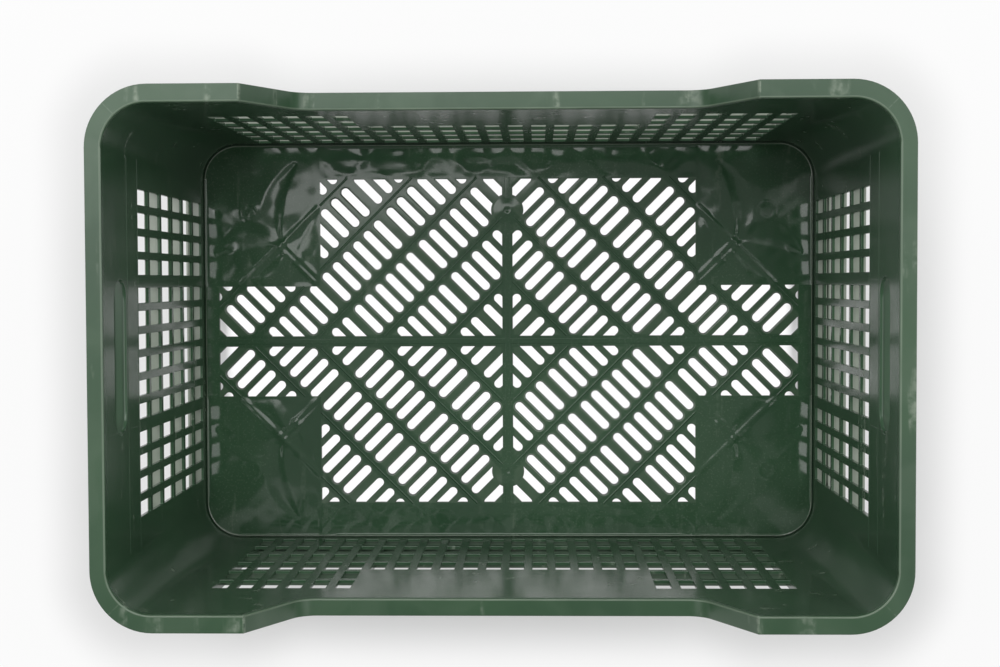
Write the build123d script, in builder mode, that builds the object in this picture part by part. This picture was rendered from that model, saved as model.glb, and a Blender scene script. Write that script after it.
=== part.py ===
from build123d import *

import os
from itertools import product
from math import atan2, ceil, sqrt, tan

# A rigid produce crate: one injection moulding in green polyethylene, divided here into its
# rim, walls, corner posts, floor and foot. Millimetres, +Z up, +X along the long side, and
# the origin on the ground below the middle of the crate.

# Outside, over the rim
length = 510.0
width = 340.0
height = 300.0

# Rim: a flat lip with a skirt turned down from its outer edge
end_lip = 10.5
side_lip = 11.6
rim_corner = 39.0
lip_thickness = 2.4
skirt_thickness = 2.4
skirt_depth = 20.0

# The rim drops in the middle of the long sides, with a crisp corner above and a rounded one below
dip_depth = 50.5
dip_top_half = 159.0
dip_bottom_half = 130.0
dip_blend = 17.0

# Walls, and the holes through them
wall = 2.4
inner_corner = 28.0
hole_height = 27.6
hole_corner = 0.8
row_bar = 5.4
end_hole = 10.2
end_web = 5.5
side_hole = 10.6
side_web = 6.1
wide_bar_extra = 3.4
middle_columns = 6
column_margin = 12.0
head_band = 78.0
dip_band = 90.0

# Ribs outside the walls: hoops all round with an upright edge, and uprights behind the bars
rib = 2.4
hoop_reach = 10.5
first_hoop = 7.5
edge_thickness = 1.6
edge_height = 6.4
base_band = 19.5

# Hand slot in each end, framed by a ledge below and an upright at each end
slot_length = 100.0
slot_height = 28.0
slot_drop = 40.0
frame_gap = 2.0

# Floor: slots run in diamond-shaped rings round the middle, and the corner pads are solid
floor_height = 14.0
floor_thickness = 2.6
groove = 0.7
pad_length = 93.2
pad_width = 113.4
floor_end_margin = 11.3
floor_side_margin = 27.7
spine = 8.4
floor_slot_length = 29.2
floor_slot_width = 6.7
floor_web = 5.1
ring_web = 7.54
slots_per_group = 6
smallest_slot = 5.0
boss_radius = 13.0
boss_inset = 25.0
floor_rib = 2.4
floor_rib_depth = 8.0

# Foot: it nests inside the rim of the crate below, and its flange rests on that rim
nest_clearance = 1.2
foot_thickness = 2.4
flange_thickness = 2.4

# Pitches of the holes and slots
row_pitch = hole_height + row_bar
end_pitch = end_hole + end_web
side_pitch = side_hole + side_web
floor_slot_pitch = floor_slot_width + floor_web
ring_pitch = floor_slot_length + ring_web

# Half sizes and corner radii of the nested outlines, from the outside in
skirt_x = length / 2 - skirt_thickness
skirt_y = width / 2 - skirt_thickness
cavity_x = length / 2 - end_lip
cavity_y = width / 2 - side_lip
hoop_x = cavity_x + hoop_reach
hoop_y = cavity_y + hoop_reach
wall_x = cavity_x + wall
wall_y = cavity_y + wall
flat_x = cavity_x - inner_corner
flat_y = cavity_y - inner_corner
floor_x = cavity_x - groove
floor_y = cavity_y - groove
foot_x = cavity_x - nest_clearance
foot_y = cavity_y - nest_clearance
foot_corner = inner_corner - nest_clearance
foot_inner_x = foot_x - foot_thickness
foot_inner_y = foot_y - foot_thickness
foot_inner_corner = foot_corner - foot_thickness

# Heights
lip_base = height - lip_thickness
wall_base = floor_height - floor_thickness
flange_base = wall_base - flange_thickness
slot_middle = height - slot_drop
ledge_base = slot_middle - slot_height / 2 - frame_gap - rib
hoop_base = floor_height + first_hoop - rib / 2
first_row = floor_height + first_hoop + row_pitch / 2
end_rows = int((height - head_band - floor_height - first_hoop) / row_pitch)
dip_rows = int((height - dip_depth - dip_band - floor_height - first_hoop) / row_pitch)
hoop_bases = [hoop_base + 2 * row_pitch * n for n in range(end_rows // 2 + 1)]
hoop_edges = [(base + (rib - edge_height) / 2, edge_height) for base in hoop_bases[1:]]
hoop_edges += [(wall_base, base_band)]
ledge_edge = (ledge_base + (rib - edge_height) / 2, edge_height)
edge_x = hoop_x - edge_thickness
edge_y = hoop_y - edge_thickness

# Hole columns run outwards from the middle of each wall. In the ends a wide bar parts them
# into groups. In the sides they are even, and only the outer half go up beside the dip.
end_bar = (middle_columns * end_pitch + wide_bar_extra) / 2
outer_columns = int((flat_y - column_margin - end_bar) / end_pitch)
end_columns = [end_pitch * (n + 0.5) for n in range(middle_columns // 2)]
end_columns += [end_bar + wide_bar_extra / 2 + end_pitch * (n + 0.5) for n in range(outer_columns)]
last_end_bar = end_columns[-1] + (end_pitch + wide_bar_extra) / 2
group_columns = int((flat_x - column_margin) / (2 * side_pitch))
inner_columns = [side_pitch * (n + 0.5) for n in range(group_columns)]
side_columns = [side_pitch * (n + 0.5) for n in range(group_columns, 2 * group_columns)]
side_bars = [side_pitch * group_columns, side_pitch * 2 * group_columns]

# Slotted part of the floor: a block in the middle, and a band through to both ends
block_x = floor_x - pad_length
block_y = floor_y - floor_side_margin
band_x = floor_x - floor_end_margin
band_y = floor_y - pad_width
boss_y = block_y - boss_inset

dip_angle = atan2(dip_depth, dip_top_half - dip_bottom_half)
reach = length + width

os.makedirs("parts", exist_ok=True)


def save(piece, name):
    """Label a finished piece and write it as parts/NAME.step."""
    piece.part.label = name
    export_step(piece.part, f"parts/{name}.step")


def both_ways(values):
    """The same distances to both sides of the middle."""
    return [sign * value for value in values for sign in (-1, 1)]


def rounded(half_x, half_y, corner, mode=Mode.ADD):
    """One of the nested outlines, by its half sizes."""
    return RectangleRounded(2 * half_x, 2 * half_y, corner, mode=mode)


def under_rim(drop):
    """Side view of the space below the rim's line, starting `drop` from it, square to it."""
    shift = drop * tan(dip_angle / 2)
    top = height - drop
    low = top - dip_depth
    with BuildSketch() as outline:
        with BuildLine():
            Polyline(
                (-reach, 0),
                (-reach, top),
                (-dip_top_half - shift, top),
                (-dip_bottom_half - shift, low),
                (dip_bottom_half + shift, low),
                (dip_top_half + shift, top),
                (reach, top),
                (reach, 0),
                close=True,
            )
        make_face()
        bends = [v for v in outline.vertices() if abs(v.X) < dip_top_half and abs(v.Y - low) < 1]
        fillet(bends, dip_blend + drop)
    return outline.sketch


def end_share(start):
    """Face in the XY plane over the +X end, mitred at 45 degrees from (start, 0)."""
    with BuildSketch() as wedge:
        with BuildLine():
            Polyline((start, 0), (start + reach, reach), (start + reach, -reach), close=True)
        make_face()
    return wedge.sketch


def side_share(start):
    """Face in the XY plane over the +Y side, mitred at 45 degrees from (start, 0)."""
    with BuildSketch() as wedge:
        with BuildLine():
            Polyline((-start, 0), (start, 0), (start + reach, reach), (-start - reach, reach), close=True)
        make_face()
    return wedge.sketch


# Spaces that other pieces are trimmed to: below the lip, below the skirt, and inside the skirt
with BuildPart() as below_lip:
    with BuildSketch(Plane.XZ):
        add(under_rim(lip_thickness))
    extrude(amount=width, both=True)

with BuildPart() as below_skirt:
    with BuildSketch(Plane.XZ):
        add(under_rim(skirt_depth))
    extrude(amount=width, both=True)

with BuildPart() as rim_hollow:
    add(below_lip.part)
    with BuildSketch():
        rounded(skirt_x, skirt_y, rim_corner - skirt_thickness)
    extrude(amount=height, mode=Mode.INTERSECT)


def make_rim(name, share, mirrors):
    """One side of the rim: lip and skirt, mitred to its neighbours at the corners."""
    with BuildPart() as rim:
        with BuildSketch(Plane.XZ):
            add(under_rim(0))
        extrude(amount=width, both=True)
        with BuildSketch():
            rounded(length / 2, width / 2, rim_corner)
            rounded(cavity_x, cavity_y, inner_corner, mode=Mode.SUBTRACT)
            add(share, mode=Mode.INTERSECT)
        extrude(amount=height, mode=Mode.INTERSECT)
        add(below_skirt.part, mode=Mode.SUBTRACT)
        add(rim_hollow.part, mode=Mode.SUBTRACT)
        for plane in mirrors:
            mirror(about=plane, mode=Mode.REPLACE)
    save(rim, name)


def make_end_wall(name, mirrors):
    """End wall from the base up to the ledge, pierced all over, with its hoops and uprights."""
    rows = [first_row + row_pitch * n for n in range(end_rows)]
    upright_base = hoop_base + rib
    with BuildPart() as end_wall:
        with BuildSketch(Plane.YZ.offset(cavity_x)):
            with Locations((0, (wall_base + ledge_base) / 2)):
                Rectangle(2 * flat_y, ledge_base - wall_base)
            with Locations(*product(both_ways(end_columns), rows)):
                RectangleRounded(end_hole, hole_height, hole_corner, mode=Mode.SUBTRACT)
        extrude(amount=wall)
        with BuildSketch(Plane.XZ):
            with Locations(*[((wall_x + hoop_x) / 2, base + rib / 2) for base in hoop_bases]):
                Rectangle(hoop_x - wall_x, rib)
            for base, rise in hoop_edges:
                with Locations((edge_x, base)):
                    Rectangle(edge_thickness, rise, align=Align.MIN)
        extrude(amount=flat_y, both=True)
        with BuildSketch(Plane.XY.offset(upright_base)):
            with Locations(*[((wall_x + skirt_x) / 2, y) for y in both_ways([end_bar, last_end_bar])]):
                Rectangle(skirt_x - wall_x, rib)
        extrude(amount=ledge_base - upright_base)
        for plane in mirrors:
            mirror(about=plane, mode=Mode.REPLACE)
    save(end_wall, name)


def make_handle_panel(name, mirrors):
    """Top of the end wall: hand slot, ledge below it and uprights up to the lip."""
    frame_bar = slot_length / 2 + frame_gap + rib / 2
    with BuildPart() as handle_panel:
        with BuildSketch(Plane.YZ.offset(cavity_x)):
            with Locations((0, (ledge_base + lip_base) / 2)):
                Rectangle(2 * flat_y, lip_base - ledge_base)
            with Locations((0, slot_middle)):
                SlotOverall(slot_length, slot_height, mode=Mode.SUBTRACT)
        extrude(amount=wall)
        with BuildSketch(Plane.XZ):
            with Locations((wall_x, ledge_base)):
                Rectangle(hoop_x - wall_x, rib, align=Align.MIN)
            with Locations((edge_x, ledge_edge[0])):
                Rectangle(edge_thickness, ledge_edge[1], align=Align.MIN)
        extrude(amount=flat_y, both=True)
        with BuildSketch(Plane.XY.offset(ledge_base)):
            with Locations(*[((wall_x + skirt_x) / 2, y) for y in both_ways([frame_bar, last_end_bar])]):
                Rectangle(skirt_x - wall_x, rib)
        extrude(amount=lip_base - ledge_base)
        for plane in mirrors:
            mirror(about=plane, mode=Mode.REPLACE)
    save(handle_panel, name)


def make_side_wall(name, mirrors):
    """Long wall: low rows run its whole length, and high rows only where the rim is high."""
    low_rows = [first_row + row_pitch * n for n in range(dip_rows)]
    high_rows = [first_row + row_pitch * n for n in range(dip_rows, end_rows)]
    holes = list(product(both_ways(inner_columns + side_columns), low_rows))
    holes += product(both_ways(side_columns), high_rows)
    upright_base = hoop_base + rib
    with BuildPart() as side_wall:
        with BuildSketch(Plane.YZ):
            with Locations(*[((wall_y + hoop_y) / 2, base + rib / 2) for base in hoop_bases + [ledge_base]]):
                Rectangle(hoop_y - wall_y, rib)
            for base, rise in hoop_edges + [ledge_edge]:
                with Locations((edge_y, base)):
                    Rectangle(edge_thickness, rise, align=Align.MIN)
        extrude(amount=flat_x, both=True)
        add(below_skirt.part, mode=Mode.INTERSECT)
        with BuildSketch(Plane.XZ.offset(-cavity_y)):
            with Locations((0, (wall_base + height) / 2)):
                Rectangle(2 * flat_x, height - wall_base)
            with Locations(*holes):
                RectangleRounded(side_hole, hole_height, hole_corner, mode=Mode.SUBTRACT)
        extrude(amount=-wall)
        with BuildSketch(Plane.XY.offset(upright_base)):
            with Locations(*[(x, (wall_y + skirt_y) / 2) for x in [0] + both_ways(side_bars)]):
                Rectangle(rib, skirt_y - wall_y)
        extrude(amount=height - upright_base)
        add(below_lip.part, mode=Mode.INTERSECT)
        for plane in mirrors:
            mirror(about=plane, mode=Mode.REPLACE)
    save(side_wall, name)


def make_corner_post(name, mirrors):
    """Rounded corner of the wall, without holes, with its stretch of every hoop."""
    with BuildPart() as corner_post:
        with BuildSketch(Plane.XY.offset(wall_base)):
            rounded(wall_x, wall_y, inner_corner + wall)
            rounded(cavity_x, cavity_y, inner_corner, mode=Mode.SUBTRACT)
            with Locations((flat_x, flat_y)):
                Rectangle(reach, reach, align=Align.MIN, mode=Mode.INTERSECT)
        extrude(amount=lip_base - wall_base)
        for base in hoop_bases + [ledge_base]:
            with BuildSketch(Plane.XY.offset(base)):
                rounded(hoop_x, hoop_y, inner_corner + hoop_reach)
                rounded(wall_x, wall_y, inner_corner + wall, mode=Mode.SUBTRACT)
                with Locations((flat_x, flat_y)):
                    Rectangle(reach, reach, align=Align.MIN, mode=Mode.INTERSECT)
            extrude(amount=rib)
        for base, rise in hoop_edges + [ledge_edge]:
            with BuildSketch(Plane.XY.offset(base)):
                rounded(hoop_x, hoop_y, inner_corner + hoop_reach)
                rounded(edge_x, edge_y, inner_corner + hoop_reach - edge_thickness, mode=Mode.SUBTRACT)
                with Locations((flat_x, flat_y)):
                    Rectangle(reach, reach, align=Align.MIN, mode=Mode.INTERSECT)
            extrude(amount=rise)
        for plane in mirrors:
            mirror(about=plane, mode=Mode.REPLACE)
    save(corner_post, name)


def make_foot_rail(name, share, mirrors):
    """One side of the foot: an upright rail below the flange that carries the walls and floor."""
    with BuildPart() as foot_rail:
        with BuildSketch():
            rounded(foot_x, foot_y, foot_corner)
            rounded(foot_inner_x, foot_inner_y, foot_inner_corner, mode=Mode.SUBTRACT)
            add(share, mode=Mode.INTERSECT)
        extrude(amount=flange_base)
        with BuildSketch(Plane.XY.offset(flange_base)):
            rounded(wall_x, wall_y, inner_corner + wall)
            rounded(foot_inner_x, foot_inner_y, foot_inner_corner, mode=Mode.SUBTRACT)
            add(share, mode=Mode.INTERSECT)
        extrude(amount=flange_thickness)
        for plane in mirrors:
            mirror(about=plane, mode=Mode.REPLACE)
    save(foot_rail, name)


# Floor slots of one quarter: each ring is a run of slots square to it, in groups, trimmed by
# the spines, the edge of the slotted area and the solid ground round the gate boss.
half_diagonal = 1 / sqrt(2)
rings = ceil((band_x + block_y) * half_diagonal / ring_pitch)
groups = ceil(band_x * half_diagonal / (2 * ring_pitch))
group_offsets = [floor_slot_pitch * (n - (slots_per_group - 1) / 2) for n in range(slots_per_group)]
slot_spots = []
for ring, group, offset in product(range(rings), range(-groups, groups), group_offsets):
    outward = ring_pitch * (ring + 0.5)
    along = 2 * ring_pitch * (group + 0.5) + offset
    x = (outward + along) * half_diagonal
    y = (outward - along) * half_diagonal
    within_x = -floor_slot_length < x < band_x + floor_slot_length
    within_y = -floor_slot_length < y < block_y + floor_slot_length
    if within_x and within_y:
        slot_spots.append((x, y))

with BuildSketch() as quarter_slots:
    with Locations(*slot_spots):
        SlotOverall(floor_slot_length, floor_slot_width, rotation=45)
    with BuildSketch(mode=Mode.INTERSECT):
        with Locations((spine / 2, spine / 2)):
            Rectangle(block_x - spine / 2, block_y - spine / 2, align=Align.MIN)
            Rectangle(band_x - spine / 2, band_y - spine / 2, align=Align.MIN)
        with Locations((0, boss_y)):
            Circle(boss_radius, mode=Mode.SUBTRACT)

with BuildSketch() as floor_slots:
    add([face for face in quarter_slots.faces() if face.area > smallest_slot])
    mirror(about=Plane.YZ)
    mirror(about=Plane.XZ)

# Ribs under the floor, on the lines between the rings and between the groups of slots
with BuildSketch() as quarter_ribs:
    for ring in range(1, rings + 2):
        outward = ring_pitch * ring * half_diagonal
        with Locations(Location((outward, outward), -45)):
            Rectangle(reach, floor_rib)
    for group in range(-groups, groups + 1):
        along = 2 * ring_pitch * group * half_diagonal
        with Locations(Location((along, -along), 45)):
            Rectangle(2 * reach, floor_rib)
    Rectangle(reach, reach, align=Align.MIN, mode=Mode.INTERSECT)

with BuildSketch() as floor_ribs:
    add(quarter_ribs.sketch)
    Rectangle(reach, floor_rib)
    Rectangle(floor_rib, reach)
    mirror(about=Plane.YZ)
    mirror(about=Plane.XZ)
    rounded(foot_inner_x, foot_inner_y, foot_inner_corner, mode=Mode.INTERSECT)

with BuildPart() as floor_grille:
    with BuildSketch(Plane.XY.offset(wall_base)):
        Rectangle(2 * block_x, 2 * floor_y)
        Rectangle(2 * floor_x, 2 * band_y)
        add(floor_slots.sketch, mode=Mode.SUBTRACT)
    extrude(amount=floor_thickness)
    with BuildSketch(Plane.XY.offset(wall_base)):
        add(floor_ribs.sketch)
        with BuildSketch(Plane.XY.offset(wall_base), mode=Mode.INTERSECT):
            Rectangle(2 * block_x, 2 * floor_y)
            Rectangle(2 * floor_x, 2 * band_y)
    extrude(amount=-floor_rib_depth)
save(floor_grille, "floor_grille")


def make_floor_pad(name, mirrors):
    """Solid corner pad of the floor, with its share of the ribs below."""
    with BuildPart() as floor_pad:
        with BuildSketch(Plane.XY.offset(wall_base)):
            rounded(floor_x, floor_y, inner_corner - groove)
            with Locations((block_x, band_y)):
                Rectangle(reach, reach, align=Align.MIN, mode=Mode.INTERSECT)
        extrude(amount=floor_thickness)
        with BuildSketch(Plane.XY.offset(wall_base)):
            add(floor_ribs.sketch)
            with Locations((block_x, band_y)):
                Rectangle(reach, reach, align=Align.MIN, mode=Mode.INTERSECT)
        extrude(amount=-floor_rib_depth)
        for plane in mirrors:
            mirror(about=plane, mode=Mode.REPLACE)
    save(floor_pad, name)


# Each piece is made for the +X end, the +Y side or the corner between them, and mirrored
ENDS = {"left": [Plane.YZ], "right": []}
FACES = {"front": [Plane.XZ], "back": []}

for end, mirrors in ENDS.items():
    make_rim(f"rim_{end}", end_share(length / 2 - width / 2), mirrors)
    make_end_wall(f"end_wall_{end}", mirrors)
    make_handle_panel(f"handle_panel_{end}", mirrors)
    make_foot_rail(f"foot_rail_{end}", end_share(flat_x - flat_y), mirrors)

for face, mirrors in FACES.items():
    make_rim(f"rim_{face}", side_share(length / 2 - width / 2), mirrors)
    make_side_wall(f"side_wall_{face}", mirrors)
    make_foot_rail(f"foot_rail_{face}", side_share(flat_x - flat_y), mirrors)

for end, face in product(ENDS, FACES):
    make_corner_post(f"corner_post_{face}_{end}", ENDS[end] + FACES[face])
    make_floor_pad(f"floor_pad_{face}_{end}", ENDS[end] + FACES[face])
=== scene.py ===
import math

import bmesh
import bpy
from mathutils import Matrix, Vector, noise


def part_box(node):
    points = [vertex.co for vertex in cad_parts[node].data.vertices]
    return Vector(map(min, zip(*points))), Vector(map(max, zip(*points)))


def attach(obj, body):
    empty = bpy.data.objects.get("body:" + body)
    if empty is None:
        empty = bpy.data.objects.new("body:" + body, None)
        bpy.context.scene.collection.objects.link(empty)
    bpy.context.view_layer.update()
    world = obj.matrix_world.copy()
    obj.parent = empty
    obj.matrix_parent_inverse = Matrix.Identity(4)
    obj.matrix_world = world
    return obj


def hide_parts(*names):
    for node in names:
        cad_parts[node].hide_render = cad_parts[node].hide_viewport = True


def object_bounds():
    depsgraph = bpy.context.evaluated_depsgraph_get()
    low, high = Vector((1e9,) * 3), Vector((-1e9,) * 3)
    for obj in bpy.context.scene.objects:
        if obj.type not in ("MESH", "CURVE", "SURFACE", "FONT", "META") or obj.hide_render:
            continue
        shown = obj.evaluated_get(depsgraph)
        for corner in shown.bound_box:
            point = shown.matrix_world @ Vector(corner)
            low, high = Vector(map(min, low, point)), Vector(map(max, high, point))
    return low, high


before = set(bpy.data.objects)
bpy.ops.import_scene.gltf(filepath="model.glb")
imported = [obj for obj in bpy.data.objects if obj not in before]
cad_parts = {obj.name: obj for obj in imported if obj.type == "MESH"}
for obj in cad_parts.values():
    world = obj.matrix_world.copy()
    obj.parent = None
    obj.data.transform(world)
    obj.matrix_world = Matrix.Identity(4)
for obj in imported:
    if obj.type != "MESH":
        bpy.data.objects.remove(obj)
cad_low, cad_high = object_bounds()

# --- Camera --------------------------------------------------------------------------------
# A camera hung over the open top of the crate, tipped a few degrees off the vertical.
floor_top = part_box("floor_grille")[1].z
lens = bpy.data.cameras.new("overhead")
lens.lens = 54.0
lens.sensor_width = 36.0
camera = bpy.data.objects.new("overhead", lens)
camera.location = (0.02287, 0.04785, floor_top + 1.205)
camera.rotation_mode = "ZYX"
camera.rotation_euler = (-0.03472, 0.02405, -0.00288)
bpy.context.scene.collection.objects.link(camera)
bpy.context.scene.camera = camera
bpy.context.scene.view_settings.view_transform = "Standard"

# --- Corner posts --------------------------------------------------------------------------
# The four rounded corners of the moulding: solid green polyethylene, 2.4 mm thick, with the
# hoops turning round them outside. They meet the walls edge to edge, so those ends stay sharp.
post_low, post_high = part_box("corner_post_back_right")
flat_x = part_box("side_wall_back")[1].x
flat_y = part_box("end_wall_right")[1].y
block_x, band_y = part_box("floor_pad_back_right")[0].xy
cavity_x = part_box("end_wall_right")[0].x
cavity_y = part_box("side_wall_back")[0].y
inner_corner = cavity_x - flat_x
rim_mitre = cad_high.x - cad_high.y
wall_easing = 0.0004
NEARLY = 2e-5
SHARP_ANGLE = 0.6
MEETING = (
    ((1, 0, 0), flat_x),
    ((0, 1, 0), flat_y),
    ((0, 0, 1), post_high.z),
    ((0, 0, 1), post_low.z),
    ((0, 0, 1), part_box("end_wall_right")[1].z),
    ((1, -1, 0), rim_mitre),
    ((1, -1, 0), flat_x - flat_y),
    ((1, 0, 0), block_x),
    ((0, 1, 0), band_y),
)


def quadrant(point):
    """The same point in the quarter of the crate where x and y are positive."""
    return Vector((abs(point.x), abs(point.y), point.z))


def meets_neighbour(edge):
    """True for an edge in a face where one zone of the moulding runs on into the next."""
    ends = [quadrant(v.co) for v in edge.verts]
    return any(
        all(abs(Vector(normal).dot(end) - distance) < NEARLY for end in ends)
        for normal, distance in MEETING
    )


def free_edges(shape):
    """The outward corners of a zone, except where it runs on into the next one."""
    return [
        e for e in shape.edges
        if len(e.link_faces) == 2 and e.calc_face_angle_signed(0) > SHARP_ANGLE
        and not meets_neighbour(e)
    ]


def merged_copy(node, distance=2e-6):
    """A node's shape as one closed bmesh, with its flat faces whole again."""
    shape = bmesh.new()
    shape.from_mesh(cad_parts[node].data)
    bmesh.ops.remove_doubles(shape, verts=shape.verts, dist=distance)
    bmesh.ops.dissolve_limit(
        shape, angle_limit=0.01, verts=shape.verts, edges=shape.edges, use_dissolve_boundaries=False
    )
    return shape


def ease(shape, edges, radius, segments=2, clamp=True):
    """Round the given edges, as a mould maker does so that the plastic lets go of the steel.
    Clamped, every edge gets only the rounding that the tightest place leaves room for."""
    made = bmesh.ops.bevel(
        shape,
        geom=list(edges),
        offset=radius,
        affect="EDGES",
        segments=segments,
        profile=0.5,
        material=-1,
        clamp_overlap=clamp,
    )
    return made["faces"]


class Flow:
    """A socket of a material's nodes, so that shader maths reads as an expression."""

    def __init__(self, tree, socket=None):
        self.tree = tree
        self.socket = socket

    def make(self, kind, settings, sockets, output=0):
        """Any node: its type, its settings, the values or links of its sockets, its output."""
        made = self.tree.nodes.new(kind)
        for name, value in settings.items():
            setattr(made, name, value)
        for name, value in sockets.items():
            if isinstance(value, Flow):
                self.tree.links.new(value.socket, made.inputs[name])
            else:
                made.inputs[name].default_value = value
        return Flow(self.tree, made.outputs[output]) if made.outputs else None

    def maths(self, operation, first, second):
        return self.make("ShaderNodeMath", {"operation": operation}, {0: first, 1: second})

    def __add__(self, other):
        return self.maths("ADD", self, other)

    def __radd__(self, other):
        return self.maths("ADD", other, self)

    def __sub__(self, other):
        return self.maths("SUBTRACT", self, other)

    def __rsub__(self, other):
        return self.maths("SUBTRACT", other, self)

    def __mul__(self, other):
        return self.maths("MULTIPLY", self, other)

    def __rmul__(self, other):
        return self.maths("MULTIPLY", other, self)

    def between(self, low, high):
        """0 below low and 1 above high, with a soft step from one to the other."""
        settings = {"interpolation_type": "SMOOTHSTEP"}
        sockets = {"Value": self, "From Min": low, "From Max": high}
        return self.make("ShaderNodeMapRange", settings, sockets)

    def noise(self, scale, detail=2.0, stretch=(1, 1, 1), distortion=0.0):
        """Noise of that many cells to the metre, drawn out along an axis by a small stretch."""
        place = self.make("ShaderNodeMapping", {}, {"Vector": self, "Scale": stretch})
        sockets = {"Vector": place, "Scale": scale, "Detail": detail, "Distortion": distortion}
        return self.make("ShaderNodeTexNoise", {}, sockets, "Fac")

    def tint(self, amount, under, over):
        """Mix two colours by an amount from 0 to 1."""
        sockets = {0: amount, 6: under, 7: over}
        return self.make("ShaderNodeMix", {"data_type": "RGBA"}, sockets, 2)

    def parts(self):
        """The x, y and z of a vector."""
        x = self.make("ShaderNodeSeparateXYZ", {}, {0: self}, "X")
        outputs = x.socket.node.outputs
        return x, Flow(self.tree, outputs["Y"]), Flow(self.tree, outputs["Z"])

    def size(self):
        """The value without its sign."""
        return self.maths("ABSOLUTE", self, 0)

    def from_outline(self, half_x, half_y, corner):
        """How far a place lies outside a rounded rectangle round the middle, seen from above."""
        x, y, _ = self.parts()
        x = x.size() - (half_x - corner)
        y = y.size() - (half_y - corner)
        over_x = x.maths("MAXIMUM", x, 0.0)
        over_y = y.maths("MAXIMUM", y, 0.0)
        beyond = x.maths("SQRT", over_x * over_x + over_y * over_y, 0.5)
        return beyond + x.maths("MINIMUM", x.maths("MAXIMUM", x, y), 0.0) - corner


GREEN = (0.037, 0.088, 0.044, 1)
DEEP_GREEN = (0.027, 0.068, 0.034, 1)
# The next three colours are pale: a dusty green for dust, also painted as sheen on the floor webs;
# a worn green for scuffs, also painted as highlights; and a grey-green painted as light on the
# ledges outside the walls.
DUST_AND_SHEEN_GREEN = (0.074, 0.124, 0.076, 1)
WORN_AND_HIGHLIT_GREEN = (0.20, 0.25, 0.19, 1)
PAINTED_LEDGE_LIGHT = (0.32, 0.36, 0.30, 1)
POLYETHYLENE_IOR = 1.54
rim_slope_x = 0.159
rim_top = cad_high.z
hand_slot_low = 0.232
outer_skin = 0.0016


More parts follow.
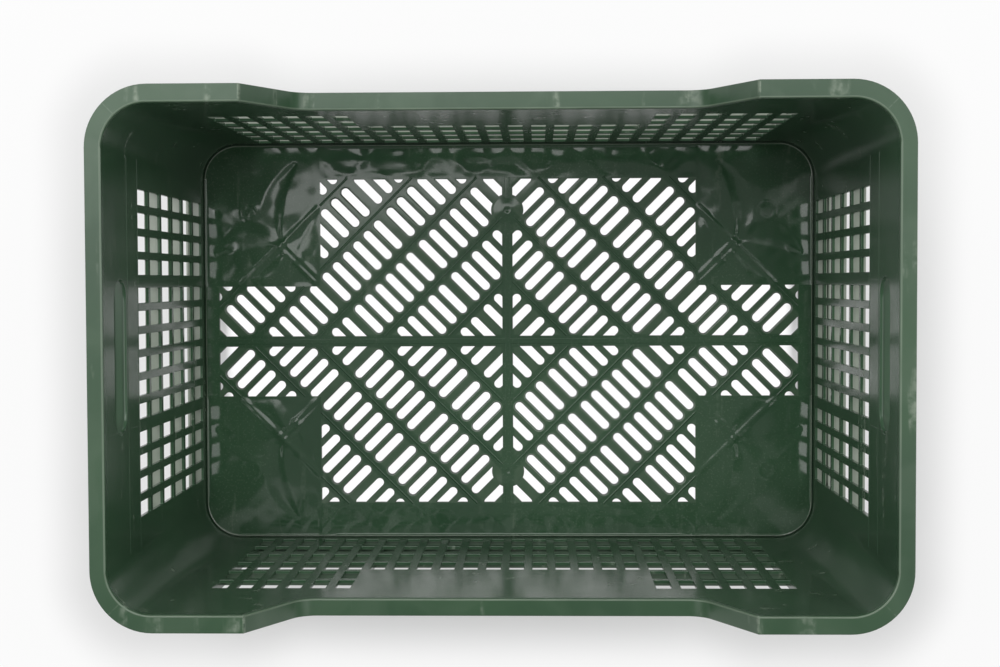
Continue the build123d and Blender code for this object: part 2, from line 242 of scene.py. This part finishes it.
def polyethylene(name, roughness, wear, wave_depth, waves=(1, 1, 1), patchy=0.0, ledge_light=0.0,
                 highlight_line=None, knit_lines_and_highlight=0.0, dust_and_sheen=None, shades=(DEEP_GREEN, GREEN)):
    """Moulded green polyethylene: cloudy colour, scuffs, and a skin that rippled as it cooled.
    Waves draws the ripples out along an axis. Patchy is the strength of dull patches. The
    next arguments paint light and marks: the upward faces of the ledges outside the walls painted
    paler as light, most at the back; a pale line painted as the highlight along a rounded edge,
    given by the half sizes and corner of its outline, how far outside that it starts and ends, and
    its strength; the strength of the rim's knit lines and of a painted highlight, broken into bits,
    along the crease where the lip bends down to the dip; and a function that works out, from a
    place and the cloudiness there, how much dust, and painted sheen on the floor webs, lies on it."""
    finish = bpy.data.materials.new(name)
    finish.use_nodes = True
    tree = finish.node_tree
    tree.nodes.clear()
    start = Flow(tree)
    place = start.make("ShaderNodeTexCoord", {}, {}, "Object")
    cloud = place.noise(9.0, 3.0)
    fine = place.noise(160.0, 3.0)
    scuff = place.noise(70.0, 4.0, (1, 0.12, 1), 0.6).between(0.58, 0.74)
    colour = start.tint(cloud.between(0.3, 0.7), *shades)
    if patchy:
        patch = place.noise(21.0, 3.0, (1, 1, 1), 0.8).between(0.45, 0.68)
        colour = start.tint(patch * patchy, colour, DUST_AND_SHEEN_GREEN)
    # Dust, and on the floor webs a painted sheen.
    if dust_and_sheen:
        colour = start.tint(dust_and_sheen(place, cloud), colour, DUST_AND_SHEEN_GREEN)
    pale_marks = scuff * fine.between(0.35, 0.65) * wear
    # A pale line painted along a rounded edge as its highlight.
    if highlight_line:
        half_x, half_y, corner, near, far, strength = highlight_line
        distance = place.from_outline(half_x, half_y, corner)
        soft = (far - near) * 0.35
        line = distance.between(near, near + soft) * (1 - distance.between(far - soft, far))
        pale_marks = start.maths("MAXIMUM", pale_marks, line * strength * (place.noise(38.0, 3.0) * 0.9 + 0.35))
    if knit_lines_and_highlight:
        x, y, z = place.parts()
        at_knit_line = 1 - (x.size() - y.size() - rim_mitre).size().between(0.0002, 0.0008)
        # A painted highlight along the crease where the lip bends down to the dip.
        slope_highlight = 1 - (x.size() - rim_slope_x).size().between(0.0004, 0.0013)
        slope_highlight = slope_highlight * z.between(rim_top - 0.004, rim_top - 0.002)
        broken = place.noise(210.0, 3.0).between(0.35, 0.6)
        pale_marks = start.maths("MAXIMUM", pale_marks, (at_knit_line * 0.3 + slope_highlight * 0.8) * broken * knit_lines_and_highlight)
    colour = start.tint(pale_marks, colour, WORN_AND_HIGHLIT_GREEN)
    # Painted light: the upward faces of the ledges outside the walls are painted paler, most at the
    # back and least at the front.
    if ledge_light:
        x, y, z = place.parts()
        out_x, out_y = cavity_x + outer_skin, cavity_y + outer_skin
        at_ends = x.size().between(out_x, out_x + 0.0006)
        at_back = y.between(out_y, out_y + 0.0006) * 1.7
        at_front = (0 - y).between(out_y, out_y + 0.0006) * 0.12
        below_slots = 1 - z.between(hand_slot_low, hand_slot_low + 0.004)
        facing = start.make("ShaderNodeNewGeometry", {}, {}, "Normal")
        upward = facing.parts()[2].between(0.5, 0.9)
        outside = start.maths("MAXIMUM", at_ends, at_back + at_front) * below_slots
        ledge_light_amount = outside * upward * (place.noise(45.0, 3.0) * 0.5 + 0.62)
        colour = start.tint(ledge_light_amount * ledge_light, colour, PAINTED_LEDGE_LIGHT)
    skin = roughness + place.noise(30.0, 3.0) * 0.10 - 0.05 + pale_marks * 0.25
    ripple = place.noise(26.0, 2.0, waves, 0.4)
    wavy = {"Strength": 1.0, "Distance": wave_depth, "Height": ripple}
    ripples = start.make("ShaderNodeBump", {}, wavy)
    grainy = {"Strength": 0.6, "Distance": 0.00002, "Height": fine, "Normal": ripples}
    grain = start.make("ShaderNodeBump", {}, grainy)
    look = {"Base Color": colour, "Roughness": skin, "IOR": POLYETHYLENE_IOR, "Normal": grain}
    shader = start.make("ShaderNodeBsdfPrincipled", {}, look)
    start.make("ShaderNodeOutputMaterial", {}, {"Surface": shader})
    return finish


def finished(shape, name, nodes, *finishes):
    """Turn a bmesh into a piece of the crate that stands for the given nodes, if any."""
    for face in shape.faces:
        face.smooth = True
    for edge in shape.edges:
        edge.smooth = len(edge.link_faces) == 2 and edge.calc_face_angle(0) < SHARP_ANGLE
    mesh = bpy.data.meshes.new(name)
    shape.to_mesh(mesh)
    shape.free()
    for finish in finishes:
        mesh.materials.append(finish)
    piece = bpy.data.objects.new(name, mesh)
    bpy.context.scene.collection.objects.link(piece)
    flats = piece.modifiers.new("flats stay flat", "WEIGHTED_NORMAL")
    flats.keep_sharp = True
    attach(piece, "root")
    if nodes:
        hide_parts(*nodes)


# The walls carry painted light on the upward faces of their outer ledges.
wall_green = polyethylene("wall_green", 0.20, 0.5, 0.00010, (1, 1, 5), ledge_light=1.0)
CORNERS = ("front_left", "front_right", "back_left", "back_right")
for corner in CORNERS:
    shape = merged_copy(f"corner_post_{corner}")
    ease(shape, free_edges(shape), wall_easing)
    finished(shape, f"moulded_corner_{corner}", [f"corner_post_{corner}"], wall_green)

# --- Side walls ----------------------------------------------------------------------------
# The long walls, pierced by columns of upright holes, with hoops and uprights outside. The
# steel that made each hole left a small rounding round its mouth.
hole_easing = 0.0005
lowest_hole = floor_top + 0.002


def mouths_inside(shape, axis, face):
    """The hole edges on the inner face of a wall that stands square to an axis."""
    return [
        e for e in free_edges(shape)
        if all(abs(abs(v.co[axis]) - face) < NEARLY and v.co.z > lowest_hole for v in e.verts)
    ]


for face in ("front", "back"):
    shape = merged_copy(f"side_wall_{face}")
    ease(shape, mouths_inside(shape, 1, cavity_y), hole_easing, clamp=False)
    ease(shape, free_edges(shape), wall_easing)
    finished(shape, f"moulded_side_{face}", [f"side_wall_{face}"], wall_green)

# --- End walls and handle panels -----------------------------------------------------------
# The short walls are pierced too. Above them is a plain panel with a full-round hand slot,
# framed by a ledge and two uprights on the outside.
hand_slot_easing = 0.0007
handle_easing = 0.0006
for end in ("left", "right"):
    shape = merged_copy(f"end_wall_{end}")
    ease(shape, mouths_inside(shape, 0, cavity_x), hole_easing, clamp=False)
    ease(shape, free_edges(shape), wall_easing)
    finished(shape, f"moulded_end_{end}", [f"end_wall_{end}"], wall_green)
    shape = merged_copy(f"handle_panel_{end}")
    ease(shape, mouths_inside(shape, 0, cavity_x), hand_slot_easing, 3, clamp=False)
    ease(shape, free_edges(shape), handle_easing)
    finished(shape, f"moulded_handle_{end}", [f"handle_panel_{end}"], wall_green)

# --- Witness lines -------------------------------------------------------------------------
# Hair-thin raised lines on the inside of the ends, where the steel inserts that formed the
# hand slot met the rest of the mould.
lower_line, upper_line, insert_half = 0.2165, 0.2430, 0.0485
line_depth, line_width, line_easing = 0.0004, 0.0005, 0.00012
insert_middle = (lower_line + post_high.z) / 2
insert_height = post_high.z - lower_line - 0.004
WITNESS_LINES = (
    (0, lower_line, 2 * flat_y, line_depth),
    (0, upper_line, 2 * flat_y, line_depth),
    (-insert_half, insert_middle, line_width, insert_height),
    (insert_half, insert_middle, line_width, insert_height),
)
shape = bmesh.new()
for side in (-1, 1):
    for y, z, run, rise in WITNESS_LINES:
        made = bmesh.ops.create_cube(shape, size=1.0)["verts"]
        bmesh.ops.scale(shape, vec=(line_depth, run, rise), verts=made)
        bmesh.ops.translate(shape, vec=(side * cavity_x, y, z), verts=made)
proud = [e for e in shape.edges if all(abs(v.co.x) < cavity_x for v in e.verts)]
ease(shape, proud, line_easing)
finished(shape, "witness_lines", [], wall_green)

# --- Floor ---------------------------------------------------------------------------------
# The slotted middle of the floor: 2.6 mm polyethylene with slots in diamond rings, and ribs
# below. Its top is the glossiest face of the crate, and its slots have rounded mouths, painted dark
# as shade, with a thin pale painted highlight round their top edge. The solid strips in front of
# and behind the slots kept soft ridges over their ribs as they cooled.
floor_edge_x, floor_edge_y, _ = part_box("floor_pad_back_right")[1]
floor_corner = inner_corner - (cavity_x - floor_edge_x)
slot_length, slot_width = 0.0292, 0.0067
slot_pitch = 0.0118
slots_beside = 2
ring_pitch = 0.03674
groups = 4
half_rings = 13
strip_y = 0.1312
band_x = 0.2325
spine_half = 0.0042
DIAGONAL = math.sqrt(0.5)


def floor_dust_and_sheen(place, cloud):
    """Fine dust all over, and painted sheen on the webs between the slots, not on the rings or
    spines.
    """
    x, y, _ = (part.size() for part in place.parts())
    outward = (x + y) * (DIAGONAL / ring_pitch)
    past_ring = (outward - outward.maths("ROUND", outward, 0)).size()
    block = (1 - x.between(block_x, block_x + 0.001)) * (1 - y.between(strip_y - 0.001, strip_y))
    band = (1 - x.between(band_x, band_x + 0.001)) * (1 - y.between(band_y, band_y + 0.001))
    webs = past_ring.between(0.075, 0.14) * x.maths("MAXIMUM", block, band)
    webs = webs * x.between(0.004, 0.006) * y.between(0.004, 0.006)
    pale_marks = webs * (place.noise(90.0, 3.0) * 0.9 + 0.15)
    fine = place.noise(620.0, 2.0).between(0.54, 0.72) * cloud.between(0.35, 0.6) * 0.7
    return pale_marks.maths("MAXIMUM", fine, pale_marks)


# The slot mouths are painted dark as shade, and a thin edge round them is painted pale as a
# highlight.
MOUTH_SHADE_GREEN = (0.013, 0.030, 0.016, 1)
# A pale line just inside the floor's edge is painted as the highlight on its rounding.
floor_edge_highlight = (floor_edge_x, floor_edge_y, floor_corner, -0.0011, -0.0001, 0.8)
floor_green = polyethylene("floor_green", 0.11, 0.30, 0.00012, highlight_line=floor_edge_highlight, dust_and_sheen=floor_dust_and_sheen)
shaded_mouth_green = polyethylene("shaded_mouth_green", 0.30, 0.0, 0.00005, shades=(MOUTH_SHADE_GREEN, DEEP_GREEN))
edge_green = polyethylene("painted_highlight_edge_green", 0.35, 0.6, 0.00005, shades=(GREEN, WORN_AND_HIGHLIT_GREEN))


def on_top(part):
    """True for a face or an edge that lies in the top of the floor."""
    return min(v.co.z for v in part.verts) > floor_top - NEARLY


def top_faces(shape):
    """The flat faces on top of a piece of the floor."""
    return [f for f in shape.faces if f.normal.z > 0.99 and on_top(f)]


def cut_across(shape, faces, place, normal):
    """Cut the given faces along a plane, and give back the faces that they became."""
    edges = dict.fromkeys(e for f in faces for e in f.edges)
    verts = dict.fromkeys(v for f in faces for v in f.verts)
    cut = bmesh.ops.bisect_plane(
        shape, geom=[*faces, *edges, *verts], plane_co=place, plane_no=normal, dist=1e-6
    )
    return [part for part in cut["geom"] if isinstance(part, bmesh.types.BMFace)]


def cut_in_rows(shape, faces, normal, places):
    """Cut the given faces along a row of planes, nearest first."""
    done, waiting = [], faces
    for place in places:
        parts = cut_across(shape, waiting, normal * place, normal)
        waiting = [f for f in parts if f.calc_center_bounds().dot(normal) > place]
        done += [f for f in parts if f.calc_center_bounds().dot(normal) <= place]
    return done + waiting


def net(shape, faces, step):
    """Cut flat faces into a net, so that the plastic can be drawn into waves."""
    for normal in (Vector((1, 0, 0)), Vector((0, 1, 0))):
        reach = [v.co.dot(normal) for f in faces for v in f.verts]
        count = round((max(reach) - min(reach)) / step)
        pitch = (max(reach) - min(reach)) / count
        faces = cut_in_rows(shape, faces, normal, [min(reach) + pitch * n for n in range(1, count)])
    return faces


def draw_up(faces, height):
    """Lift or sink every corner of the given faces by a height worked out from its place."""
    for corner in dict.fromkeys(v for f in faces for v in f.verts):
        corner.co.z += height(corner.co)


def step_up(value, low, high):
    """0 below low and 1 above high, with a soft step between."""
    share = min(max((value - low) / (high - low), 0), 1)
    return share * share * (3 - 2 * share)


def ridge(distance, width):
    """1 on a line, and nothing beyond about two widths of it."""
    return math.exp(-((distance / width) ** 2))


def rib_lines(spot):
    """How far out a place is along the diagonal of its quarter, and how far along its ring."""
    return (spot.x + spot.y) * DIAGONAL, (spot.x - spot.y) * DIAGONAL


def from_nearest(distance, pitch):
    """How far past the nearest of a row of lines a place is."""
    return distance - round(distance / pitch) * pitch


def strip_height(point):
    """The ridges over the ribs in the solid strips of the floor, and the waves between them."""
    spot = quadrant(point)
    outward, along = rib_lines(spot)
    over_ribs = max(
        ridge(from_nearest(outward, ring_pitch), 0.0020),
        ridge(from_nearest(along, 2 * ring_pitch), 0.0020),
    )
    wave = noise.noise(Vector((point.x * 46, point.y * 95, 3)))
    swirl = noise.noise(Vector((point.x * 120, point.y * 140, 8)))
    fade = step_up(spot.y, strip_y, strip_y + 0.004) * step_up(block_x - spot.x, 0, 0.004)
    edge = step_up(spot.y, cavity_y - 0.013, cavity_y)
    return fade * (over_ribs * 0.00028 + wave * 0.00045 + swirl * 0.00016 - edge * 0.0006)


def outlines(edges):
    """The given edges, sorted into the outlines that they make."""
    waiting = dict.fromkeys(edges)
    found = []
    while waiting:
        outline = []
        front = [waiting.popitem()[0]]
        while front:
            edge = front.pop()
            outline.append(edge)
            for near in (e for v in edge.verts for e in v.link_edges):
                if near in waiting:
                    del waiting[near]
                    front.append(near)
        found.append(outline)
    return found


shape = merged_copy("floor_grille", 3e-5)
faces = top_faces(shape)
for across in (Vector((1, 0, 0)), Vector((0, 1, 0))):
    faces = cut_across(shape, faces, Vector((0, 0, 0)), across)
faces = cut_in_rows(shape, faces, Vector((0, 1, 0)), (-strip_y, strip_y))
strips = [f for f in faces if abs(f.calc_center_bounds().y) > strip_y]
slotted = [f for f in faces if abs(f.calc_center_bounds().y) <= strip_y]
rows = [ring_pitch * n / 2 for n in range(1, half_rings + 1)]
columns = [2 * ring_pitch * n for n in range(-groups, groups + 1)]
for group in range(-groups, groups):
    middle = 2 * ring_pitch * (group + 0.5)
    columns += [middle + slot_pitch * n for n in range(-slots_beside, slots_beside + 1)]
for x_side in (-1, 1):
    for y_side in (-1, 1):
        quarter = [
            f for f in slotted
            if f.calc_center_bounds().x * x_side > 0 and f.calc_center_bounds().y * y_side > 0
        ]
        outward = Vector((x_side, y_side, 0)).normalized()
        along = Vector((x_side, -y_side, 0)).normalized()
        quarter = cut_in_rows(shape, quarter, outward, rows)
        cut_in_rows(shape, quarter, along, sorted(columns))
lip_easing = 0.0008
mouth_easing, mouth_top_easing, trimmed_easing = 0.0011, 0.0002, 0.0004
slot_outline = 2 * (slot_length - slot_width) + math.pi * slot_width
whole, trimmed, lips = [], [], []
for outline in outlines([e for e in free_edges(shape) if on_top(e)]):
    length = sum(e.calc_length() for e in outline)
    gap = block_x - max(abs(v.co.x) for e in outline for v in e.verts)
    if length > slot_outline + 0.001:
        lips += outline
    elif length < slot_outline - 0.0005 or 0 < gap < mouth_easing + mouth_top_easing:
        trimmed.append(outline)
    else:
        whole += outline
ease(shape, lips, lip_easing, 3)
# Mouths take the colour painted dark as shade.
for outline in trimmed:
    for f in ease(shape, outline, trimmed_easing):
        f.material_index = 1
mouth_faces = ease(shape, whole, mouth_easing, clamp=False)
for f in mouth_faces:
    f.material_index = 1
mouth_faces = set(mouth_faces)
# Their top edges take the colour painted pale as a highlight.
highlit_edges = [
    e for e in shape.edges
    if len(e.link_faces) == 2 and len(mouth_faces.intersection(e.link_faces)) == 1 and on_top(e)
]
for f in ease(shape, highlit_edges, mouth_top_easing, 1, clamp=False):
    f.material_index = 2
strips = [f for f in top_faces(shape) if abs(f.calc_center_bounds().y) > strip_y]
strip_net = 0.0026
draw_up(net(shape, strips, strip_net), strip_height)
finished(shape, "moulded_floor", ["floor_grille"], floor_green, shaded_mouth_green, edge_green)

# --- Lines and gate bosses on the floor ----------------------------------------------------
# Low ridges of the same plastic stand on the webs: one along each ring between its groups of
# slots, and a flat band along both spines. The turned bosses are where the plastic was let in.
rings = 6
shortest_ridge = 0.005
RING_RIDGE = (0.0032, 0.00060, 0.3)
LONG_SPINE = (0.0050, 0.00028, 0.8)
SHORT_SPINE = (0.0050, 0.00026, 0.8)
boss_y = 0.105
BOSS_PROFILE = (
    (0.0, 0.0003), (0.0009, 0.0003), (0.0019, 0.0007), (0.0034, 0.0008), (0.0060, 0.0006),
    (0.0085, 0.00035), (0.0112, 0.00015), (0.0116, -0.0002), (0.0, -0.0002),
)


def low_ridge(shape, start, end, width, height, crown):
    """A low ridge on the floor from one place to another. Crown is the share of its width that
    is left on top."""
    run = end - start
    made = bmesh.ops.create_cube(shape, size=1.0)["verts"]
    bmesh.ops.scale(shape, vec=(run.length, width, 2 * height), verts=made)
    bmesh.ops.scale(shape, vec=(1, crown, 1), verts=[v for v in made if v.co.z > 0])
    turn = Matrix.Rotation(math.atan2(run.y, run.x), 3, "Z")
    bmesh.ops.rotate(shape, cent=(0, 0, 0), matrix=turn, verts=made)
    middle = (start + end) / 2
    bmesh.ops.translate(shape, vec=(middle.x, middle.y, floor_top), verts=made)
    edges = dict.fromkeys(e for v in made for e in v.link_edges)
    upper = [e for e in edges if all(v.co.z > floor_top for v in e.verts)]
    ease(shape, upper, min(width * 0.3, height * 0.9))


shape = bmesh.new()
for ring in range(1, rings + 1):
    total = ring * ring_pitch / DIAGONAL
    for low_x, high_x, high_y in ((spine_half, block_x, strip_y), (block_x, band_x, band_y)):
        from_x = max(low_x, total - high_y)
        to_x = min(high_x, total - spine_half)
        if to_x - from_x > shortest_ridge:
            for x_side in (-1, 1):
                for y_side in (-1, 1):
                    start = Vector((from_x * x_side, (total - from_x) * y_side, 0))
                    end = Vector((to_x * x_side, (total - to_x) * y_side, 0))
                    low_ridge(shape, start, end, *RING_RIDGE)
low_ridge(shape, Vector((-band_x, 0, 0)), Vector((band_x, 0, 0)), *LONG_SPINE)
low_ridge(shape, Vector((0, -strip_y, 0)), Vector((0, strip_y, 0)), *SHORT_SPINE)
for y_side in (-1, 1):
    line = [shape.verts.new((r, y_side * boss_y, floor_top + z)) for r, z in BOSS_PROFILE]
    edges = [shape.edges.new(pair) for pair in zip(line, line[1:])]
    bmesh.ops.spin(
        shape, geom=line + edges, cent=(0, y_side * boss_y, 0), axis=(0, 0, 1), angle=math.tau,
        steps=40, use_merge=True, use_duplicate=False,
    )
bmesh.ops.remove_doubles(shape, verts=shape.verts, dist=1e-6)
bmesh.ops.recalc_face_normals(shape, faces=shape.faces)
finished(shape, "floor_lines", [], floor_green)

# --- Corner pads ---------------------------------------------------------------------------
# The four solid corners of the floor. Two ribs cross below each one, and the plastic round
# them sank and buckled as it cooled, which left a cross, long leaves and a round pin mark.
crossing_ring, crossing_group = 5, 2
pin_mark = Vector((0.2075, 0.1040))
pad_net = 0.0014
LEAVES = (
    ((0.1819, 0.0800), (0.2010, 0.1090), (0.1680, 0.1450), 0.0085, -0.00055),
    ((0.1840, 0.0790), (0.2080, 0.0960), (0.2360, 0.0690), 0.0100, -0.00050),
    ((0.1790, 0.0730), (0.1830, 0.0480), (0.2080, 0.0500), 0.0080, 0.00045),
    ((0.1560, 0.0980), (0.1600, 0.0700), (0.1740, 0.0640), 0.0065, 0.00040),
)


def leaf(spot, start, bend, end, half_width, height):
    """A long dished leaf along a bent line, with a crease round its edge."""
    best = 0.0
    for step in range(1, 24):
        share = step / 24
        there = Vector(start) * (1 - share) ** 2 + Vector(bend) * 2 * share * (1 - share)
        there += Vector(end) * share**2
        reach = half_width * math.sin(math.pi * share) ** 0.8
        best = max(best, 1 - ((spot.xy - there).length / reach) ** 2)
    return height * best


def from_outline(point, half_x, half_y, corner):
    """How far a point lies outside a rounded rectangle, seen from above."""
    x = abs(point.x) - half_x + corner
    y = abs(point.y) - half_y + corner
    return math.hypot(max(x, 0), max(y, 0)) + min(max(x, y), 0) - corner


def pad_height(point):
    """The cross, the leaves, the pin mark and the waves of a corner pad."""
    spot = quadrant(point)
    outward, along = rib_lines(spot)
    past_ring = outward - crossing_ring * ring_pitch
    past_group = along - crossing_group * ring_pitch
    height = 0.00062 * ridge(past_ring, 0.0018)
    inward = 1 - step_up(past_ring, -0.002, 0.006)
    height += 0.00050 * inward * ridge(abs(past_group) - 0.0024, 0.0014)
    height += sum(leaf(spot, *one) for one in LEAVES)
    from_pin = (spot.xy - pin_mark).length
    height += 0.00022 * ridge(from_pin - 0.0065, 0.0011)
    height += 0.00055 * noise.noise(Vector((point.x * 38, point.y * 38, 1)))
    height += 0.00012 * noise.noise(Vector((point.x * 115, point.y * 115, 5)))
    over_x = min(max((spot.x - block_x) / (floor_edge_x - block_x), 0), 1)
    over_y = min(max((spot.y - band_y) / (floor_edge_y - band_y), 0), 1)
    height += 0.0010 * math.sin(math.pi * over_x) * math.sin(math.pi * over_y)
    outside = from_outline(point, floor_edge_x, floor_edge_y, floor_corner)
    height -= 0.0007 * max(0, 1 + outside / 0.013) ** 2
    height *= step_up(spot.x, block_x, block_x + 0.004)
    return height * step_up(spot.y, band_y, band_y + 0.004)


for corner in CORNERS:
    shape = merged_copy(f"floor_pad_{corner}")
    ease(shape, [e for e in free_edges(shape) if on_top(e)], lip_easing, 3)
    draw_up(net(shape, top_faces(shape), pad_net), pad_height)
    finished(shape, f"moulded_pad_{corner}", [f"floor_pad_{corner}"], floor_green)

# --- Foot ----------------------------------------------------------------------------------
# A rail round the underside that drops inside the rim of the crate below, with a flange that
# carries the walls and the edge of the floor.
SIDES = ("left", "right", "front", "back")
foot_easing = 0.0005
for side in SIDES:
    shape = merged_copy(f"foot_rail_{side}")
    ease(shape, free_edges(shape), foot_easing)
    finished(shape, f"moulded_foot_{side}", [f"foot_rail_{side}"], wall_green)

# --- Rim -----------------------------------------------------------------------------------
# The flat lip and its turned-down skirt. Hands and other crates rub it, so its top is duller
# and scuffed, and its inner edge is rolled. A pale painted highlight runs along the rolled edge and
# along the crease where the lip bends down to the dip.
roll_easing, lip_edge_easing = 0.0013, 0.0006
# A pale line painted on the rolled inner edge as its highlight.
rim_edge_highlight = (cavity_x, cavity_y, inner_corner, 0.0001, 0.0017, 0.6)
RIM_SHADES = ((0.022, 0.062, 0.028, 1), (0.031, 0.081, 0.036, 1))
rim_green = polyethylene("rim_green", 0.33, 1.0, 0.00008, patchy=0.3, highlight_line=rim_edge_highlight, knit_lines_and_highlight=1.0,
                         shades=RIM_SHADES)


def from_cavity(edge):
    """How far the ends of an edge lie from the outline of the crate's inside."""
    return [abs(from_outline(v.co, cavity_x, cavity_y, inner_corner)) for v in edge.verts]


for side in SIDES:
    shape = merged_copy(f"rim_{side}")
    inner = [
        e for e in free_edges(shape)
        if max(f.normal.z for f in e.link_faces) > 0.3 and max(from_cavity(e)) < 0.0001
    ]
    ease(shape, inner, roll_easing, 4)
    outer = [e for e in free_edges(shape) if max(from_cavity(e)) > 0.004]
    ease(shape, outer, lip_edge_easing)
    finished(shape, f"moulded_rim_{side}", [f"rim_{side}"], rim_green)

# --- Studio --------------------------------------------------------------------------------
# A pale floor, three soft lamps hung round the camera and an even grey room. What the camera
# sees of the floor is partly its own lit paper, with the crate's shadow, and partly plain white:
# all white under the slots and far off, and least so round the crate.
world = bpy.data.worlds.new("studio")
world.use_nodes = True
bpy.context.scene.world = world
world.node_tree.nodes.clear()
room = Flow(world.node_tree)
seen = room.make("ShaderNodeLightPath", {}, {}, "Is Camera Ray")
dim = room.make("ShaderNodeBackground", {}, {"Color": (0.9, 0.9, 0.9, 1), "Strength": 0.38})
white = room.make("ShaderNodeBackground", {}, {"Color": (1, 1, 1, 1), "Strength": 1.0})
either = room.make("ShaderNodeMixShader", {}, {0: seen, 1: dim, 2: white})
room.make("ShaderNodeOutputWorld", {}, {"Surface": either})

sheet = bmesh.new()
bmesh.ops.create_grid(sheet, x_segments=1, y_segments=1, size=6.0)
ground_mesh = bpy.data.meshes.new("ground")
sheet.to_mesh(ground_mesh)
sheet.free()
ground = bpy.data.objects.new("ground", ground_mesh)
bpy.context.scene.collection.objects.link(ground)
paper = bpy.data.materials.new("ground")
paper.use_nodes = True
paper.node_tree.nodes.clear()
start = Flow(paper.node_tree)
place = start.make("ShaderNodeTexCoord", {}, {}, "Object")
shade_x, shade_y, shade_corner = 0.345, 0.2315, 0.052
shade_offset = (0.0078, 0.0155, 0)
shade_dip = 0.014
shifted = place.make("ShaderNodeVectorMath", {"operation": "ADD"}, {0: place, 1: shade_offset})
across, along, _ = (part.size() for part in shifted.parts())
dip = shade_dip * (1.0 - across.between(0.150, 0.215))
x = across - (shade_x - shade_corner)
y = along - (shade_y - shade_corner) + dip
past_x = x.maths("MAXIMUM", x, 0.0)
past_y = y.maths("MAXIMUM", y, 0.0)
spread = x.maths("SQRT", past_x * past_x + past_y * past_y, 0.5) - shade_corner
halo = spread.between(-0.012, 0.040)
far = spread.between(0.030, 0.400)
close = 1.0 - spread.between(-0.085, -0.020)
past_foot = place.from_outline(floor_edge_x, floor_edge_y, floor_corner)
beneath = 1.0 - past_foot.between(-0.020, -0.006)
whiteness = start.maths("MAXIMUM", halo * 0.58 + far * 0.12 + close * 0.38 + 0.30, beneath)
diffuse = start.make("ShaderNodeBsdfDiffuse", {}, {"Color": (0.8, 0.8, 0.8, 1)})
shine = start.make("ShaderNodeEmission", {}, {"Color": (1, 1, 1, 1), "Strength": 1.0})
rays = start.make("ShaderNodeLightPath", {}, {}, "Is Camera Ray")
glossy = Flow(paper.node_tree, rays.socket.node.outputs["Is Glossy Ray"])
shown = rays.maths("MAXIMUM", rays, glossy)
surface = start.make("ShaderNodeMixShader", {}, {0: shown * whiteness, 1: diffuse, 2: shine})
start.make("ShaderNodeOutputMaterial", {}, {"Surface": surface})
ground_mesh.materials.append(paper)


def softbox(name, place, size, power):
    """A rectangular lamp that faces the crate."""
    lamp = bpy.data.lights.new(name, "AREA")
    lamp.shape = "RECTANGLE"
    lamp.size, lamp.size_y = size
    lamp.energy = power
    box = bpy.data.objects.new(name, lamp)
    box.location = place
    aim = Vector((0, 0, 0.15)) - Vector(place)
    box.rotation_euler = aim.to_track_quat("-Z", "Y").to_euler()
    bpy.context.scene.collection.objects.link(box)


softbox("left_softbox", (-1.25, 0.25, 1.75), (1.8, 1.0), 10)
softbox("right_softbox", (1.15, 0.25, 1.75), (1.6, 1.0), 12)
softbox("back_softbox", (-0.3, 0.9, 1.95), (1.6, 1.5), 19)
